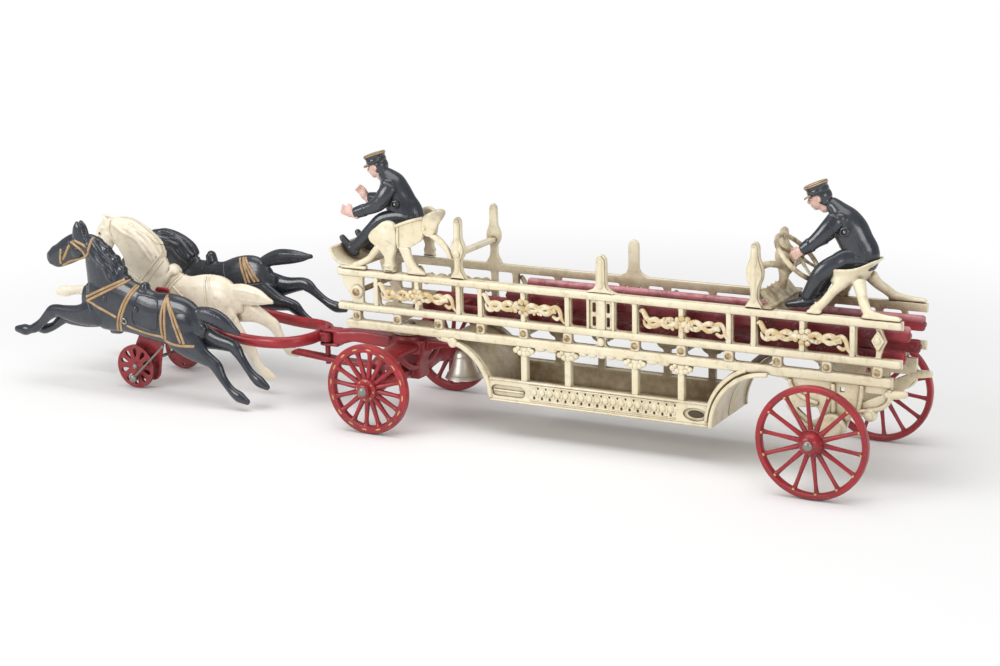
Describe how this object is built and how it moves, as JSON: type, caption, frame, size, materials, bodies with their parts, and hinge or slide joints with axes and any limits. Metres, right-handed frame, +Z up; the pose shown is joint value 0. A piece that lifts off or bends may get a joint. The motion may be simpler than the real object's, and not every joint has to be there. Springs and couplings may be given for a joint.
{
  "type": "horse-drawn hook-and-ladder toy",
  "caption": "Cast toy fire truck with a galloping team, swivelling front bogie, sliding ladders, rolling spoked wheels, two seated firemen and a bell under the frame.",
  "frame": {"origin": "middle of the bounding box on the floor that the wheels stand on", "axes": "+X from the horses' heads to the tail of the truck, +Y to the far side, +Z up"},
  "size_m": [0.7734, 0.1722, 0.2139],
  "materials": {
    "cream_enamel": "gloss enamel, worn and yellowed",
    "red_enamel": "gloss enamel, worn",
    "ladder_red": "faded satin enamel",
    "black_enamel": "gloss enamel with bronze trim",
    "ivory_enamel": "gloss enamel, worn",
    "nickel_plate": "dulled plating",
    "bare_iron": "bare, browned"
  },
  "bodies": {
    "truck": {"side_frame_near": "cream_enamel", "side_frame_far": "cream_enamel", "ladder_rest_1": "cream_enamel", "ladder_rest_2": "cream_enamel", "ladder_rest_3": "cream_enamel", "ladder_rest_4": "cream_enamel", "front_tie_rod": "bare_iron", "rear_tie_rod": "cream_enamel", "post_tie_bar": "cream_enamel", "well_floor": "cream_enamel", "front_arch": "cream_enamel", "rear_arch": "cream_enamel", "rear_axle": "bare_iron", "king_pin": "bare_iron", "front_bolster": "cream_enamel", "front_seat": "cream_enamel", "footboard": "cream_enamel", "rear_seat": "cream_enamel", "steering_post": "cream_enamel", "foot_plate": "cream_enamel", "driver_near_half": "black_enamel", "driver_far_half": "black_enamel", "driver_rivet": "bare_iron", "steersman_near_half": "black_enamel", "steersman_far_half": "black_enamel", "steersman_rivet": "bare_iron"},
    "bogie": {"bogie": "red_enamel", "front_axle": "bare_iron", "bell": "nickel_plate", "bell_screw": "bare_iron", "hitch_pin": "bare_iron"},
    "clapper": {"bell_clapper": "bare_iron"},
    "front_wheel_near": {"front_wheel_near": "red_enamel"},
    "front_wheel_far": {"front_wheel_far": "red_enamel"},
    "rear_wheel_near": {"rear_wheel_near": "red_enamel"},
    "rear_wheel_far": {"rear_wheel_far": "red_enamel"},
    "yoke": {"hitch_yoke": "red_enamel", "team_axle": "bare_iron", "horse_rod": "bare_iron"},
    "team_wheel_near": {"team_wheel_near": "red_enamel"},
    "team_wheel_far": {"team_wheel_far": "red_enamel"},
    "crank_rod_near": {"crank_rod_near": "bare_iron"},
    "crank_rod_far": {"crank_rod_far": "bare_iron"},
    "near_horse": {"near_horse_near_half": "black_enamel", "near_horse_far_half": "black_enamel", "near_horse_rivet": "bare_iron"},
    "middle_horse": {"middle_horse_near_half": "ivory_enamel", "middle_horse_far_half": "ivory_enamel", "middle_horse_rivet": "bare_iron"},
    "far_horse": {"far_horse_near_half": "black_enamel", "far_horse_far_half": "black_enamel", "far_horse_rivet": "bare_iron"},
    "long_ladder": {"long_ladder": "ladder_red"},
    "short_ladder": {"short_ladder": "ladder_red"},
    "steering_wheel": {"steering_wheel": "cream_enamel"}
  },
  "joints": [
    {"name": "bogie_swivel", "type": "hinge", "parent": "truck", "child": "bogie", "pos_m": [-0.02862, 0, 0.06], "axis": [0, 0, 1], "range_deg": [-35, 35]},
    {"name": "clapper_swing", "type": "hinge", "parent": "bogie", "child": "clapper", "pos_m": [0.01898, 0, 0.0497], "axis": [0, 1, 0], "range_deg": [-12, 12]},
    {"name": "front_wheel_near_spin", "type": "hinge", "parent": "bogie", "child": "front_wheel_near", "pos_m": [-0.02862, -0.0665, 0.0355], "axis": [0, 1, 0], "continuous": true},
    {"name": "front_wheel_far_spin", "type": "hinge", "parent": "bogie", "child": "front_wheel_far", "pos_m": [-0.02862, 0.0665, 0.0355], "axis": [0, 1, 0], "continuous": true},
    {"name": "rear_wheel_near_spin", "type": "hinge", "parent": "truck", "child": "rear_wheel_near", "pos_m": [0.33338, -0.075, 0.0408], "axis": [0, 1, 0], "continuous": true},
    {"name": "rear_wheel_far_spin", "type": "hinge", "parent": "truck", "child": "rear_wheel_far", "pos_m": [0.33338, 0.075, 0.0408], "axis": [0, 1, 0], "continuous": true},
    {"name": "hitch_swing", "type": "hinge", "parent": "bogie", "child": "yoke", "pos_m": [-0.10712, 0, 0.054], "axis": [0, 0, 1], "range_deg": [-25, 25]},
    {"name": "team_wheel_near_spin", "type": "hinge", "parent": "yoke", "child": "team_wheel_near", "pos_m": [-0.27762, -0.033, 0.0184], "axis": [0, 1, 0], "continuous": true},
    {"name": "team_wheel_far_spin", "type": "hinge", "parent": "yoke", "child": "team_wheel_far", "pos_m": [-0.27762, 0.033, 0.0184], "axis": [0, 1, 0], "continuous": true},
    {"name": "crank_rod_near_turn", "type": "hinge", "parent": "team_wheel_near", "child": "crank_rod_near", "pos_m": [-0.27762, -0.0386, 0.0089], "axis": [0, 1, 0], "continuous": true},
    {"name": "crank_rod_far_turn", "type": "hinge", "parent": "team_wheel_far", "child": "crank_rod_far", "pos_m": [-0.27762, 0.0386, 0.0089], "axis": [0, 1, 0], "continuous": true},
    {"name": "near_horse_rock", "type": "hinge", "parent": "yoke", "child": "near_horse", "pos_m": [-0.25332, -0.051, 0.076], "axis": [0, 1, 0], "range_deg": [-19.6, 0.8]},
    {"name": "middle_horse_rock", "type": "hinge", "parent": "yoke", "child": "middle_horse", "pos_m": [-0.25332, 0, 0.076], "axis": [0, 1, 0], "range_deg": [-9.7, 8.2]},
    {"name": "far_horse_rock", "type": "hinge", "parent": "yoke", "child": "far_horse", "pos_m": [-0.25332, 0.051, 0.076], "axis": [0, 1, 0], "range_deg": [0, 20.5]},
    {"name": "long_ladder_slide", "type": "slide", "parent": "truck", "child": "long_ladder", "axis": [1, 0, 0], "range_m": [0, 0.4]},
    {"name": "short_ladder_slide", "type": "slide", "parent": "truck", "child": "short_ladder", "axis": [1, 0, 0], "range_m": [0, 0.3]},
    {"name": "steering_wheel_turn", "type": "hinge", "parent": "truck", "child": "steering_wheel", "pos_m": [0.29438, 0, 0.153], "axis": [0.7071, 0, 0.7071], "continuous": true}
  ],
  "couplings": [
    {"joint": "crank_rod_near_turn", "follows": "team_wheel_near_spin", "ratio": -1},
    {"joint": "crank_rod_far_turn", "follows": "team_wheel_far_spin", "ratio": -1}
  ]
}
